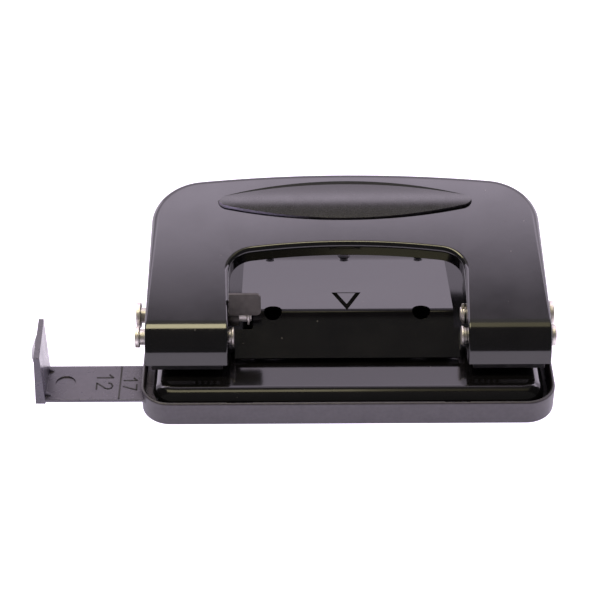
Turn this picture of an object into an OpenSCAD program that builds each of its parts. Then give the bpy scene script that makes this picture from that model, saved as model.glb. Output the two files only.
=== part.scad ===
// Small two-hole desk punch: pressed steel lever over a steel base in a plastic chip tray.
// X runs across the punch, Y from front to back, Z up from the desk.
// The origin is the middle of the tray's underside.

/* [Base] */
// Width of the tray
base_w = 103.6; // [102:0.2:110]
// Depth of the tray from front to back
base_d = 64; // [58:1:80]
// Corner radius of the tray in plan
base_corner_r = 7.5; // [6:0.5:12]
// Height of the tray's rim above the desk
tray_h = 7; // [6.6:0.1:7.4]
// Wall thickness of the tray
tray_wall = 1; // [0.8:0.1:1.4]
// Floor thickness of the tray
tray_floor = 1.2; // [0.8:0.1:1.6]
// Rounding under the tray's outer edge
tray_foot_r = 0.5; // [0.4:0.1:1.4]
// Gap between the tray and the plate's skirt in front and behind
tray_fit = 0.25; // [0.15:0.05:0.4]
// Gap between the tray and the plate's skirt at the sides
tray_side = 1.7; // [1:0.1:2]
// Height of the base plate's upper face
plate_top = 8.4; // [8.2:0.1:9.5]
// Sheet thickness of the base plate
plate_t = 1; // [0.8:0.1:1.2]
// Outer radius of the plate's rolled edge
plate_edge_r = 4; // [2.5:0.1:4.4]
// Height of the plate's lower edge above the desk
plate_low = 3.5; // [3:0.1:4]

/* [Punches] */
// Distance between the two punched holes
hole_pitch = 80; // [78:0.5:82]
// Diameter of a punch
punch_d = 5.5; // [5:0.1:6]
// Height of the paper slot
slot_gap = 1.3; // [1.1:0.1:1.5]
// Paper edge to hole centre
edge_to_hole = 12; // [10:0.5:13]
// Height of a punch's head above its drive pin
punch_head = 2.6; // [2.2:0.1:3]
// Lift of the punch's tip above the paper slot
punch_lift = 0.2; // [0.1:0.1:0.4]
// Depth of the hollow in the punch's tip
punch_hollow = 0.8; // [0.4:0.1:1.2]

/* [Brackets] */
// Sheet thickness of the punch brackets
bracket_t = 1.2; // [1:0.1:1.4]
// Side play between a bracket and the lever's flanges
bracket_play = 0.4; // [0.3:0.1:0.8]
// Radius of the bracket's ear round the pivot pin
ear_r = 3.6; // [3:0.1:3.8]
// Length of a bracket's foot behind the paper stop
bracket_foot = 7.2; // [6:0.2:9]
// Gap between the lever's lip and the bracket when the lever is up
lip_gap = 0.15; // [0.1:0.05:0.4]

/* [Pins] */
// Pivot axis behind the tray's front
pivot_back = 17; // [16:0.5:18]
// Height of the pivot axis
pivot_z = 14.45; // [14:0.05:15]
// Drive pin behind the pivot axis
drive_back = 7; // [6.5:0.1:7.5]
// Drive pin above the pivot axis with the lever up
drive_rise = 1.29; // [1:0.01:1.6]
// Diameter of the pins
pin_d = 3.5; // [3:0.1:4]
// Diameter of the pivot pins' heads
pin_head_d = 4.9; // [4.6:0.1:5.4]
// Length of the pivot pins' inner heads with their collars
pin_head_t = 1.3; // [1.1:0.05:1.4]
// Thickness of the inner heads' discs
pin_disc_t = 0.55; // [0.4:0.05:0.7]
// Length of the left pins' outer heads with their collars
pin_cap_left = 2.8; // [2:0.1:3]
// Length of the right pins' outer heads with their collars
pin_cap_right = 1.7; // [1.5:0.1:2.6]
// Diameter of the pivot pins' outer heads
pin_cap_d = 5.4; // [4.8:0.1:5.8]
// Thickness of the outer heads' discs
pin_cap_disc_t = 1.1; // [0.7:0.1:1.2]
// Diameter of the drive pins' outer heads
drive_head_d = 6.6; // [5.6:0.1:6.8]
// Diameter of the collars under the heads
pin_collar_d = 4; // [3.9:0.1:4.3]
// Free end of a drive pin beyond its clip
pin_stub = 0.4; // [0.3:0.1:0.8]
// Depth of the groove for a clip
clip_groove = 0.8; // [0.6:0.1:0.9]
// Diameter of the spring clips on the drive pins
clip_d = 5.2; // [4.8:0.1:6]
// Thickness of the spring clips
clip_t = 0.6; // [0.5:0.1:0.8]
// Radial clearance of a pin in its hole
pin_fit = 0.05; // [0.03:0.01:0.08]
// Radial clearance of the drive pin in the punch
drive_fit = 0.2; // [0.15:0.05:0.3]

/* [Lever] */
// Width of the lever
lever_w = 101.2; // [100:0.2:102]
// Pivot axis to the lever's rear edge
lever_len = 49.9; // [46:0.1:52]
// Sheet thickness of the lever
lever_t = 1; // [0.8:0.1:1.1]
// Lever's upper face above the pivot axis
lever_top = 6.63; // [6.4:0.01:7.2]
// Slope of the lever when it is up
lever_rest = 12; // [8:0.5:13]
// Outer radius of the lever's edges at its back
lever_edge_r = 2; // [1.5:0.1:2.4]
// Outer radius of the lever's edges at the roll
roll_edge_r = 0.5; // [0.4:0.1:1]
// Depth of the lever's skirt
lever_skirt = 4.5; // [3.5:0.1:5]
// Radius of the lever's rear corners
lever_corner_r = 14; // [10:0.5:18]
// Radius of the arched rear edge
lever_arch_r = 330; // [250:10:500]
// Radius of the roll at the front of the arms
roll_r = 8.5; // [8:0.1:9]
// Pivot axis to the start of the roll
roll_back = 0.2; // [0:0.1:1]
// Angle that the roll turns through
roll_turn = 66; // [60:1:70]
// Straight lip below the roll
lip_len = 2.4; // [1.8:0.1:2.8]
// Width of the opening between the arms
window_w = 59.8; // [56:0.2:62]
// Pivot axis to the rear edge of the opening
window_len = 24.75; // [24:0.05:28]
// Corner radius of the opening
window_r = 6.5; // [4:0.5:9]
// Radius of the opening's arched rear edge
window_arch_r = 160; // [120:10:300]
// Radius of the flanges' lobes round the pins
lobe_r = 3.1; // [2.8:0.1:3.1]
// Overlap of the lobes with the skirt
lobe_lap = 0.5; // [0.3:0.1:1]

/* [Inlay] */
// Length of the lens-shaped inlay
inlay_len = 66; // [50:1:72]
// Height of the inlay at its middle
inlay_h = 11.7; // [8:0.1:14]
// Height of the inlay's blunt ends
inlay_end = 2.4; // [1.5:0.1:4]
// Pivot axis to the inlay's middle
inlay_back = 39.2; // [36:0.1:41]
// Depth of the pocket that holds the inlay
inlay_pocket = 0.5; // [0.3:0.1:0.6]
// Thickness of the inlay at its crown
inlay_t = 1; // [0.9:0.1:1.4]
// Radius of the inlay's crown
inlay_crown_r = 45; // [30:1:90]
// Gap round the inlay
inlay_fit = 0.15; // [0.1:0.05:0.3]

/* [Hood] */
// Width of the hood between the arms
hood_w = 54; // [50:0.5:54]
// Width of the hood's ramp in front of the pins
ramp_w = 56.8; // [55:0.2:57]
// Height of the hood's crest
hood_top = 16.6; // [16.2:0.1:16.8]
// Sheet thickness of the hood
hood_t = 0.8; // [0.6:0.1:1]
// Hood's front edge behind the tray's front
hood_front = 13.8; // [13:0.1:14.4]
// Height of the ramp's front edge above the plate
hood_edge_h = 1.6; // [1.5:0.1:1.8]
// Slope of the hood's ramp
hood_slope = 31.2; // [29:0.2:33]
// Distance from the tray's rear to the lower end of the hood's panel
hood_rear = 9.6; // [9:0.1:10]
// Outer radius of the bend at the crest
hood_bend_r = 1.5; // [1.25:0.25:3]
// Length of the hood's foot
hood_foot = 4.6; // [4.2:0.1:4.8]
// Diameter of the two holes in the hood's bend
hood_hole_d = 4.6; // [3:0.1:5]
// Distance between those holes
hood_hole_pitch = 37.7; // [30:0.1:38]
// Width of the centre mark
mark_w = 7.6; // [6:0.1:9]
// Length of the centre mark
mark_len = 10.4; // [8:0.1:12]
// Stroke of the centre mark
mark_stroke = 1.2; // [0.8:0.1:1.4]
// Depth of the centre mark
mark_deep = 0.35; // [0.2:0.05:0.5]

/* [Rivets] */
// Diameter of a rivet's shank
rivet_d = 2.2; // [1.8:0.1:2.6]
// Diameter of a rivet's head
rivet_head_d = 3.8; // [3.2:0.1:4.4]
// Height of a rivet's head
rivet_head_h = 0.9; // [0.6:0.1:1.1]
// Clearance of a bracket's rivet heads from the end of its foot and from the plate's bend
rivet_clear = 0.4; // [0.2:0.1:0.6]
// Distance between the rivets in the hood's foot
hood_rivet_pitch = 20; // [14:0.5:22]

/* [Springs] */
// Wire diameter of the return springs
wire_d = 0.9; // [0.7:0.05:1]
// Mean diameter of the coil
coil_d = 5.3; // [5.1:0.1:5.5]
// Number of turns
coil_turns = 4; // [3:1:5]
// Distance between turns
coil_pitch = 1.5; // [1.4:0.05:1.6]
// Inner ear to the first turn
coil_inset = 0.9; // [0.8:0.1:1.6]
// Leg beyond the drive pin
leg_past = 1.2; // [0.8:0.1:2]
// Length of the short leg on the bracket
leg_short = 4.2; // [3:0.1:4.6]
// Gap between the wire and what its legs press on
wire_gap = 0.1; // [0.05:0.05:0.2]

/* [Lock] */
// Length of the lock's hub on the long drive pin
lock_hub_len = 2.4; // [2:0.1:2.8]
// Wall of the hub round the pin
lock_wall = 1.1; // [0.9:0.1:1.2]
// Travel of the lock along the pin
lock_travel = 1.9; // [1.4:0.1:2]
// Width of the lock's thumb tab
lock_tab_w = 8; // [6:0.1:8]
// Height of the tab's lower edge above the pin axis
lock_tab_low = 2.3; // [2.2:0.1:2.6]
// Height of the tab's upper edge above the pin axis
lock_tab_high = 8.4; // [6.5:0.1:8.8]
// Tab in front of the pin axis
lock_tab_front = 3.3; // [3.2:0.1:3.6]
// Radius of the tab's free corners
lock_corner_r = 1.2; // [0.6:0.1:1.6]
// Sheet thickness of the lock
lock_t = 0.9; // [0.7:0.1:1]
// Backward lean of the tab
lock_lean = 8; // [4:1:9]
// Length of the tongue behind the pin axis
lock_tongue = 4.6; // [4.2:0.1:4.8]
// Gap between the tongue and the hood's notch
lock_gap = 0.4; // [0.3:0.1:0.6]
// Running gap at each end of the hub
lock_play = 0.1; // [0.05:0.05:0.2]

/* [Paper guide] */
// Length of the guide's bar
guide_len = 80; // [70:1:90]
// Width of the bar
guide_w = 12.8; // [11:0.2:13.2]
// Thickness of the bar
guide_t = 0.8; // [0.7:0.1:1.1]
// Height of the bar's upper face
guide_top = 5.2; // [5:0.1:5.4]
// Bar behind the tray's front
guide_back = 3.8; // [3.6:0.1:4.2]
// How far the bar is drawn out of the tray
guide_out = 23.8; // [10:0.1:30]
// Height of the paper stop above the desk, at its rear
stop_h = 21; // [16:0.2:22]
// Fall of the stop's top towards the front
stop_fall = 2; // [0.5:0.1:2.4]
// Thickness of the stop at its foot
stop_t = 2.5; // [2:0.1:3]
// Thickness of the stop at its top
stop_top_t = 1.3; // [1:0.1:1.6]
// Draft of the stop's face towards its top
stop_draft = 0.2; // [0.1:0.1:0.4]
// Clearance of the stop's foot above the desk
stop_low = 3.9; // [3:0.1:4]
// Bulge of the finger ridge at the stop's top
ridge_out = 1.7; // [1:0.1:2]
// Height of the finger ridge
ridge_h = 4.6; // [3:0.1:5]
// Radius of the round recess in the bar
recess_r = 2.5; // [2:0.1:3]
// Depth of that recess
recess_deep = 0.4; // [0.3:0.05:0.5]
// Stop face to the middle of the recess
recess_in = 4.5; // [3.5:0.1:6]
// Size of the gussets between stop and bar
gusset = 1.5; // [1:0.1:2]
// Running gap round the bar
guide_fit = 0.15; // [0.1:0.05:0.2]
// Wall of the channel in the tray
rail_t = 0.65; // [0.5:0.05:0.65]
// Lip of the channel over and under the bar
rail_lip = 0.9; // [0.5:0.1:1.2]
// Right end of the channel
rail_right = 40; // [34:1:42]

/* [Hidden] */
$fn = 48;
eps = 0.01;
cut = 1;

// Places of the axes
front_y = -base_d / 2;
pivot_y = front_y + pivot_back;
drive_y = pivot_y + drive_back;
drive_z = pivot_z + drive_rise;
drive_r = norm([drive_back, drive_rise]);
punch_y = pivot_y + (drive_back + drive_r) / 2;
punch_x = hole_pitch / 2;

// The base plate sits inside the tray's rim
plate_w = base_w - 2 * (tray_wall + tray_side);
plate_d = base_d - 2 * (tray_wall + tray_fit);
plate_corner_r = base_corner_r - tray_wall - tray_fit;
plate_under = plate_top - plate_t;

// Lever in its own frame: origin on the pivot axis, Y along the upper face
lever_hw = lever_w / 2;
window_hw = window_w / 2;
lever_rear_c = lever_len - lever_arch_r;
corner_x = lever_hw - lever_corner_r;
corner_y = lever_rear_c + sqrt(pow(lever_arch_r - lever_corner_r, 2) - pow(corner_x, 2));
corner_turn = asin(corner_x / (lever_arch_r - lever_corner_r));
window_c = window_len - window_arch_r;
wcorner_x = window_hw - window_r;
wcorner_y = window_c + sqrt(pow(window_arch_r - window_r, 2) - pow(wcorner_x, 2));
wcorner_turn = asin(wcorner_x / (window_arch_r - window_r));
roll_z = lever_top - roll_r;
drive_in_lever = [
    drive_back * cos(lever_rest) + drive_rise * sin(lever_rest),
    drive_rise * cos(lever_rest) - drive_back * sin(lever_rest)
];

// Brackets between the lever's flanges
bracket_in = window_hw + lever_t + bracket_play;
bracket_out = lever_hw - lever_t - bracket_play;
bracket_w = bracket_out - bracket_in;
web_low = plate_top + slot_gap;
web_top = web_low + bracket_t;
stop_y = punch_y + edge_to_hole;

// Rivets in a bracket's foot, from its inner end to the edge of the plate's flat
rivet_edge = rivet_head_d / 2 + rivet_clear;
bracket_rivet_x = [bracket_in + rivet_edge, plate_w / 2 - plate_edge_r - rivet_edge];
bracket_rivet_y = stop_y + bracket_t + bracket_foot / 2;

// The lip's lower inner edge stops against the bracket's web
lip_edge = [
    roll_back - roll_r * sin(roll_turn) - lip_len * cos(roll_turn) + lever_t * sin(roll_turn),
    roll_z + roll_r * cos(roll_turn) - lip_len * sin(roll_turn) - lever_t * cos(roll_turn)
];
lip_edge_y = pivot_y + lip_edge[0] * cos(lever_rest) - lip_edge[1] * sin(lever_rest);
lip_edge_z = pivot_z + lip_edge[0] * sin(lever_rest) + lip_edge[1] * cos(lever_rest);
lip_lean = 90 - roll_turn - lever_rest;
web_front = lip_edge_y + max(web_top - lip_edge_z, 0) * tan(lip_lean) + lip_gap;

// Hood: ramp, crest, and a panel that falls to its foot below the swing of the lever
hood_edge_y = front_y + hood_front;
hood_low = plate_top + hood_edge_h;
hood_crest_y = hood_edge_y + (hood_top - hood_low) / tan(hood_slope);
hood_foot_y = -front_y - hood_rear;
hood_fall = atan((hood_top - plate_top - hood_t) / (hood_foot_y - hood_crest_y));
hood_half_turn = (hood_slope + hood_fall) / 2;
hood_rivet_y = hood_foot_y + (hood_foot + hood_t) / 2;
ramp_back = drive_y - ear_r + 2 * pin_fit;

// Lock on the long left drive pin
lock_r = pin_d / 2 + lock_wall;
hub_left = -window_hw + lock_play;
hub_right = hub_left + lock_hub_len;
lock_clip = hub_right + lock_travel + lock_play;
pin_end = lock_clip + clip_t + 2 * pin_fit + pin_stub;
notch_right = pin_end + lock_gap;
notch_front = drive_y - lock_r - 2 * lock_gap;
notch_rear = drive_y + lock_tongue + 2 * lock_gap;
tongue_rise = lock_r - 2 * lock_t;

// Paper guide
bar_front = front_y + guide_back;
bar_rear = bar_front + guide_w;
bar_low = guide_top - guide_t;
stop_x = -base_w / 2 - guide_out;
rail_left = -base_w / 2 + base_corner_r - tray_wall;

// Clip on the right drive pin
clip_in = window_hw - clip_t - 3 * pin_fit;

// Return spring about the pivot axis
coil_r = coil_d / 2;
coil_x = bracket_in + bracket_t + coil_inset;
coil_end_x = coil_x + coil_pitch * coil_turns;
leg_end = [drive_back + leg_past, drive_rise - pin_d / 2 - wire_d / 2 - wire_gap];
foot_end = [-leg_short, web_top + wire_d / 2 + wire_gap - pivot_z];
coil_steps = 8;

function arc(c, r, a, b, n) = [for (i = [0:n]) let (t = a + (b - a) * i / n) c + r * [cos(t), sin(t)]];

// Places along an arm, measured on the upper face: the lip's end, then the roll
lip_turn = roll_r * roll_turn * PI / 180;
roll_steps = 9;
function arm_places(past) = concat(
    [roll_back - lip_turn - lip_len - past],
    [for (i = [roll_steps:-1:0]) roll_back - lip_turn * i / roll_steps]
);

// One edge of the lever's plan from the left arm round the back to the right arm
function lever_edge(half, corner, r, turn, mid_c, mid_r, past) = concat(
    [for (y = arm_places(past)) [-half, y]],
    arc([-corner[0], corner[1]], r, 180, 90 + turn, 10),
    arc([0, mid_c], mid_r, 90 + 0.8 * turn, 90 - 0.8 * turn, 10),
    arc(corner, r, 90 - turn, 0, 10),
    [for (y = flip(arm_places(past))) [half, y]]
);

function flip(list) = [for (i = [len(list) - 1:-1:0]) list[i]];

// Carries a point of the flat lever over the roll and down the lip
function over_roll(p) = p[1] >= roll_back ? p : let (
    way = roll_back - p[1],
    turn = min(way / lip_turn, 1) * roll_turn,
    down = max(way - lip_turn, 0),
    r = roll_r - lever_top + p[2]
) [p[0], roll_back - r * sin(turn) - down * cos(turn), roll_z + r * cos(turn) - down * sin(turn)];

// Plan of the sheet: edge of the opening, then the outer edge back again, both drawn in by d
function lever_plan(d, past) = concat(
    lever_edge(window_hw + d, [wcorner_x, wcorner_y], window_r + d, wcorner_turn, window_c,
        window_arch_r + d, past),
    flip(lever_edge(lever_hw - d, [corner_x, corner_y], lever_corner_r - d, corner_turn, lever_rear_c,
        lever_arch_r - d, past))
);

// Ring drawn in by d at height z at the back, and by front[0] at height front[1] from the roll on
function lever_ring(d, z, front, past) = let (
    back_plan = lever_plan(d, past),
    front_plan = lever_plan(front[0], past)
) [
    for (i = [0:len(back_plan) - 1]) let (p = back_plan[i], q = front_plan[i])
        p[1] > roll_back ? [p[0], p[1], z] : over_roll([q[0], q[1], front[1]])
];

// A wall up to an edge of radius r, or of radius s at the roll, whose outer face is drawn in by d
function shell_rings(d, r, s, low, high, past) = concat(
    [lever_ring(d, low, [d, low], past)],
    [for (a = [0:22.5:90]) lever_ring(d + r * (1 - cos(a)), high - r + r * sin(a),
        [d + s * (1 - cos(a)), high - s + s * sin(a)], past)]
);

function two_faces(a, b, c, d) = [[a, b, c], [a, c, d]];

// Solid through such rings, closed below and above between the two edges
module loft(rings) {
    n = len(rings[0]);
    half = n / 2;
    last = (len(rings) - 1) * n;
    polyhedron(
        points = [for (r = rings) each r],
        faces = concat(
            [for (i = [0:half - 2]) each two_faces(i, i + 1, n - 2 - i, n - 1 - i)],
            [for (k = [0:n:last - n], i = [0:n - 1]) let (j = (i + 1) % n)
                each two_faces(k + i, k + n + i, k + n + j, k + j)],
            [for (i = [0:half - 2]) let (a = last + i, b = last + n - 1 - i)
                each two_faces(a, b, b - 1, a + 1)]
        )
    );
}

// Sweeps a section round a rectangle with round corners; the section's outer face is at x = r
module rim_sweep(w, d, r) {
    for (q = [0:3]) {
        side = q % 2 == 0 ? [w, d] : [d, w];
        rotate(90 * q) {
            translate([side[0] / 2 - r, side[1] / 2 - r, 0])
                rotate_extrude(angle = 90)
                    children();
            translate([side[0] / 2 - r, side[1] / 2 - r, 0])
                rotate([90, 0, 0])
                    linear_extrude(side[1] - 2 * r)
                        children();
        }
    }
}

// Puts a drawing of the Y-Z plane upright and gives it a width along X
module along_x(x, w) {
    translate([x, 0, 0])
        rotate([90, 0, 90])
            linear_extrude(w)
                children();
}

module bore_x(x, y, z, d, w) {
    translate([x, y, z])
        rotate([0, 90, 0])
            cylinder(d = d, h = w);
}

module on_lever() {
    translate([0, pivot_y, pivot_z])
        rotate([lever_rest, 0, 0])
            children();
}

module plate_section() {
    c = plate_corner_r - plate_edge_r;
    translate([c, plate_top - plate_edge_r])
        intersection() {
            difference() {
                circle(plate_edge_r);
                circle(plate_edge_r - plate_t);
            }
            square(plate_edge_r);
        }
    translate([plate_corner_r - plate_t, plate_low])
        square([plate_t, plate_top - plate_edge_r - plate_low]);
    translate([0, plate_under])
        square([c, plate_t]);
}

module rivet_places(z) {
    for (x = [-1:1])
        translate([x * hood_rivet_pitch, hood_rivet_y, z])
            children(0);
    for (s = [-1, 1], x = bracket_rivet_x)
        translate([s * x, bracket_rivet_y, z])
            children(1);
}

module base_plate() {
    color("#1d1c1f")
    difference() {
        union() {
            rim_sweep(plate_w, plate_d, plate_corner_r)
                plate_section();
            translate([0, 0, plate_under])
                linear_extrude(plate_t)
                    square([plate_w - 2 * plate_corner_r, plate_d - 2 * plate_corner_r], center = true);
        }
        for (s = [-1, 1])
            translate([s * punch_x, punch_y, plate_under - cut])
                cylinder(d = punch_d + 2 * pin_fit, h = plate_t + 2 * cut);
        rivet_places(plate_under - cut) {
            cylinder(d = rivet_d + 2 * pin_fit, h = plate_t + 2 * cut);
            cylinder(d = rivet_d + 2 * pin_fit, h = plate_t + 2 * cut);
        }
        // Gap in the left skirt for the paper guide
        translate([-plate_w / 2 - cut, bar_front - 4 * guide_fit, plate_low - cut])
            cube([plate_t + plate_edge_r + cut, guide_w + 8 * guide_fit,
                guide_top + 2 * guide_fit - plate_low + cut]);
    }
}

module tray_section() {
    r = base_corner_r;
    lip_r = tray_wall / 2;
    translate([r - tray_wall, tray_foot_r])
        square([tray_wall, tray_h - tray_foot_r - lip_r]);
    translate([r - lip_r, tray_h - lip_r])
        circle(lip_r);
    square([r - tray_foot_r, tray_floor]);
    translate([r - tray_foot_r, tray_foot_r])
        intersection() {
            circle(tray_foot_r);
            translate([0, -tray_foot_r])
                square(tray_foot_r);
        }
    translate([r - tray_wall - tray_foot_r, tray_foot_r - eps])
        square([tray_wall + tray_foot_r - eps, eps]);
}

// Section of one side of the channel that carries the guide's bar, with a hook over the bar or without
module guide_rail(hooked) {
    high = hooked ? guide_top + guide_fit + rail_t : guide_top - 2 * guide_fit;
    translate([0, tray_floor - eps])
        square([rail_t + rail_lip, bar_low - guide_fit - tray_floor + eps]);
    translate([0, tray_floor - eps])
        square([rail_t, high - tray_floor + eps]);
    if (hooked)
        translate([0, high - rail_t])
            square([rail_t + rail_lip, rail_t]);
}

module chip_tray() {
    pad = 3;
    notch_w = 6.4;
    notch_deep = 0.9;
    slot_in = base_corner_r - 2 * tray_wall;
    color("#55515a")
    difference() {
        union() {
            rim_sweep(base_w, base_d, base_corner_r)
                tray_section();
            linear_extrude(tray_floor)
                square([base_w - 2 * base_corner_r, base_d - 2 * base_corner_r], center = true);
            // Pads under the plate's skirt
            for (x = [-1, 1], y = [-1, 1])
                translate([x * (base_w / 2 - base_corner_r - pad), y * (base_d / 2 - tray_wall - pad / 2), 0])
                    translate([-pad, -pad / 2 - eps, tray_floor - eps])
                        cube([2 * pad, pad + 2 * eps, plate_low - tray_floor - tray_fit / 2 + eps]);
            // Channel of the paper guide: a plain wall in front, a hooked one behind
            translate([0, bar_front - guide_fit - rail_t, 0])
                along_x(rail_left, rail_right - rail_left)
                    guide_rail(false);
            translate([0, bar_rear + guide_fit + rail_t, 0])
                mirror([0, 1, 0])
                    along_x(rail_left, rail_right - rail_left)
                        guide_rail(true);
        }
        // Slot in the left wall for the guide's bar
        translate([-base_w / 2 - cut, bar_front - 2 * guide_fit, bar_low - guide_fit])
            cube([slot_in + cut, guide_w + 4 * guide_fit, guide_t + 2 * guide_fit]);
        // Two shallow recesses in the inner side of the front rim
        for (x = [-1, 1])
            translate([x * hood_w / 2 - notch_w / 2, front_y + tray_wall / 2, tray_h - notch_deep])
                cube([notch_w, tray_wall / 2 + cut, notch_deep + cut]);
    }
}

// Ramp, bend, panel and foot in one outline, along the upper face and back along the lower one
module hood_section() {
    middle = 90 + (hood_slope - hood_fall) / 2;
    bend_c = [hood_crest_y, hood_top] - hood_bend_r / cos(hood_half_turn) * [cos(middle), sin(middle)];
    foot_top = plate_top + hood_t;
    tail_y = hood_foot_y + hood_foot;
    bend_steps = 12;
    polygon(concat(
        [[hood_edge_y, hood_low]],
        arc(bend_c, hood_bend_r, 90 + hood_slope, 90 - hood_fall, bend_steps),
        [[hood_foot_y, foot_top], [tail_y, foot_top], [tail_y, plate_top]],
        [[hood_foot_y - hood_t * tan(hood_fall / 2), plate_top]],
        arc(bend_c, hood_bend_r - hood_t, 90 - hood_fall, 90 + hood_slope, bend_steps),
        [[hood_edge_y + hood_t * sin(hood_slope), hood_low - hood_t * cos(hood_slope)]]
    ));
}

// Sunk triangle that marks the middle of the paper, with its apex at the crest
module centre_mark() {
    half_angle = atan(mark_w / 2 / mark_len);
    inner = mark_stroke / sin(half_angle);
    top = mark_len - mark_stroke / 3;
    inner_w = 2 * (top - inner) * tan(half_angle);
    difference() {
        polygon([[0, 0], [mark_w / 2, mark_len], [-mark_w / 2, mark_len]]);
        polygon([[0, inner], [inner_w / 2, top], [-inner_w / 2, top]]);
    }
}

module hood() {
    color("#1d1c1f")
    difference() {
        union() {
            along_x(-hood_w / 2, hood_w)
                hood_section();
            along_x(-ramp_w / 2, ramp_w)
                intersection() {
                    hood_section();
                    translate([hood_edge_y - cut, plate_top])
                        square([ramp_back - hood_edge_y + cut, hood_top]);
                }
        }
        for (s = [-1, 1])
            translate([s * hood_hole_pitch / 2, hood_crest_y, pivot_z - cut])
                cylinder(d = hood_hole_d, h = hood_top - pivot_z + 2 * cut);
        translate([0, hood_crest_y, hood_top])
            rotate([-hood_fall, 0, 0])
                translate([0, 0, -mark_deep])
                    linear_extrude(mark_deep + cut)
                        centre_mark();
        // Room for the long drive pin and the lock
        translate([-ramp_w / 2 - cut, notch_front, plate_top + hood_t])
            cube([ramp_w / 2 + notch_right + cut, notch_rear - notch_front, hood_top]);
        rivet_places(plate_top - cut) {
            cylinder(d = rivet_d + 2 * pin_fit, h = hood_t + 2 * cut);
            cylinder(d = eps, h = eps);
        }
    }
}

module ear_outline() {
    translate([pivot_y, pivot_z])
        circle(ear_r);
    translate([pivot_y - ear_r, web_low])
        square([2 * ear_r, pivot_z - web_low]);
}

// Web over the paper, paper stop, foot, and two ears for the pivot pin
module bracket() {
    color("#2a292c")
    difference() {
        union() {
            translate([bracket_in, web_front, web_low])
                cube([bracket_w, stop_y + bracket_t - web_front, bracket_t]);
            translate([bracket_in, stop_y, plate_top])
                cube([bracket_w, bracket_t, web_top - plate_top]);
            translate([bracket_in, stop_y, plate_top])
                cube([bracket_w, bracket_t + bracket_foot, bracket_t]);
            along_x(bracket_in, bracket_t)
                ear_outline();
            along_x(bracket_out - bracket_t, bracket_t)
                ear_outline();
        }
        bore_x(bracket_in - cut, pivot_y, pivot_z, pin_d + 2 * pin_fit, bracket_w + 2 * cut);
        translate([punch_x, punch_y, web_low - cut])
            cylinder(d = punch_d + 2 * pin_fit, h = bracket_t + 2 * cut);
        rivet_places(plate_top - cut) {
            cylinder(d = eps, h = eps);
            cylinder(d = rivet_d + 2 * pin_fit, h = bracket_t + 2 * cut);
        }
    }
}

module bracket_right() {
    bracket();
}

module bracket_left() {
    mirror([1, 0, 0])
        bracket();
}

// Shank from under the plate to the top of the foot, with a domed head
module rivet(grip) {
    dome_r = (pow(rivet_head_d / 2, 2) + pow(rivet_head_h, 2)) / (2 * rivet_head_h);
    tail_h = 0.6;
    translate([0, 0, -grip - tail_h])
        cylinder(d = rivet_head_d, h = tail_h);
    translate([0, 0, -grip])
        cylinder(d = rivet_d, h = grip);
    translate([0, 0, rivet_head_h - dome_r])
        intersection() {
            sphere(dome_r);
            translate([0, 0, dome_r - rivet_head_h])
                cylinder(d = rivet_head_d, h = rivet_head_h);
        }
}

module hood_rivets() {
    color("#8d8b8f")
    for (x = [-1:1])
        translate([x * hood_rivet_pitch, hood_rivet_y, plate_top + hood_t])
            rivet(hood_t + plate_t);
}

module bracket_rivets() {
    color("#8d8b8f")
    for (s = [-1, 1], x = bracket_rivet_x)
        translate([s * x, bracket_rivet_y, plate_top + bracket_t])
            rivet(bracket_t + plate_t);
}

// Flange outline round both pins, below the rounded edge of the sheet
module flange_lobes() {
    band = lever_top - lever_skirt;
    tail = drive_in_lever[0] + 3 * lobe_r;
    circle(lobe_r);
    translate(drive_in_lever)
        circle(lobe_r);
    polygon([[0, -lobe_r], [0, band + lobe_lap], [tail, band + lobe_lap], [tail, band],
        [drive_in_lever[0] + lobe_r, drive_in_lever[1]], [drive_in_lever[0], drive_in_lever[1] - lobe_r]]);
}

module lens(grow) {
    half = inlay_len / 2;
    sag = (inlay_h - inlay_end) / 2;
    r = (half * half + sag * sag) / (2 * sag);
    intersection() {
        translate([0, inlay_h / 2 - r])
            circle(r + grow, $fn = 180);
        translate([0, r - inlay_h / 2])
            circle(r + grow, $fn = 180);
        square([inlay_len + 2 * grow, inlay_h + 2 * grow], center = true);
    }
}

module handle() {
    color("#1c1b1e")
    on_lever()
    difference() {
        union() {
            difference() {
                loft(shell_rings(0, lever_edge_r, roll_edge_r, lever_top - lever_skirt, lever_top, 0));
                loft(shell_rings(lever_t, lever_edge_r - lever_t, roll_edge_r / 2,
                    lever_top - lever_skirt - cut, lever_top - lever_t, cut));
            }
            for (x = [window_hw, lever_hw - lever_t, -window_hw - lever_t, -lever_hw])
                along_x(x, lever_t)
                    flange_lobes();
        }
        for (p = [[0, 0], drive_in_lever])
            bore_x(-lever_hw - cut, p[0], p[1], pin_d + 2 * pin_fit, lever_w + 2 * cut);
        translate([0, inlay_back, lever_top - inlay_pocket])
            linear_extrude(inlay_pocket + cut)
                lens(inlay_fit);
    }
}

module handle_inlay() {
    color("#3a383c")
    on_lever()
    translate([0, inlay_back, lever_top - inlay_pocket])
        intersection() {
            linear_extrude(inlay_t)
                lens(0);
            translate([-inlay_len, 0, inlay_t - inlay_crown_r])
                rotate([0, 90, 0])
                    cylinder(r = inlay_crown_r, h = 2 * inlay_len, $fn = 180);
        }
}

// Outer head of a pin: a collar and a disc
module pin_cap(y, z, d, reach) {
    bore_x(lever_hw + pin_fit, y, z, pin_collar_d, reach - pin_fit);
    bore_x(lever_hw + reach - pin_cap_disc_t, y, z, d, pin_cap_disc_t);
}

module pivot_pin(reach) {
    inner = window_hw - pin_head_t;
    color("#c9c7c2") {
        bore_x(inner, pivot_y, pivot_z, pin_d, lever_hw + reach - inner);
        bore_x(inner, pivot_y, pivot_z, pin_collar_d, pin_head_t - pin_fit);
        bore_x(inner, pivot_y, pivot_z, pin_head_d, pin_disc_t);
        pin_cap(pivot_y, pivot_z, pin_cap_d, reach);
    }
}

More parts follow.
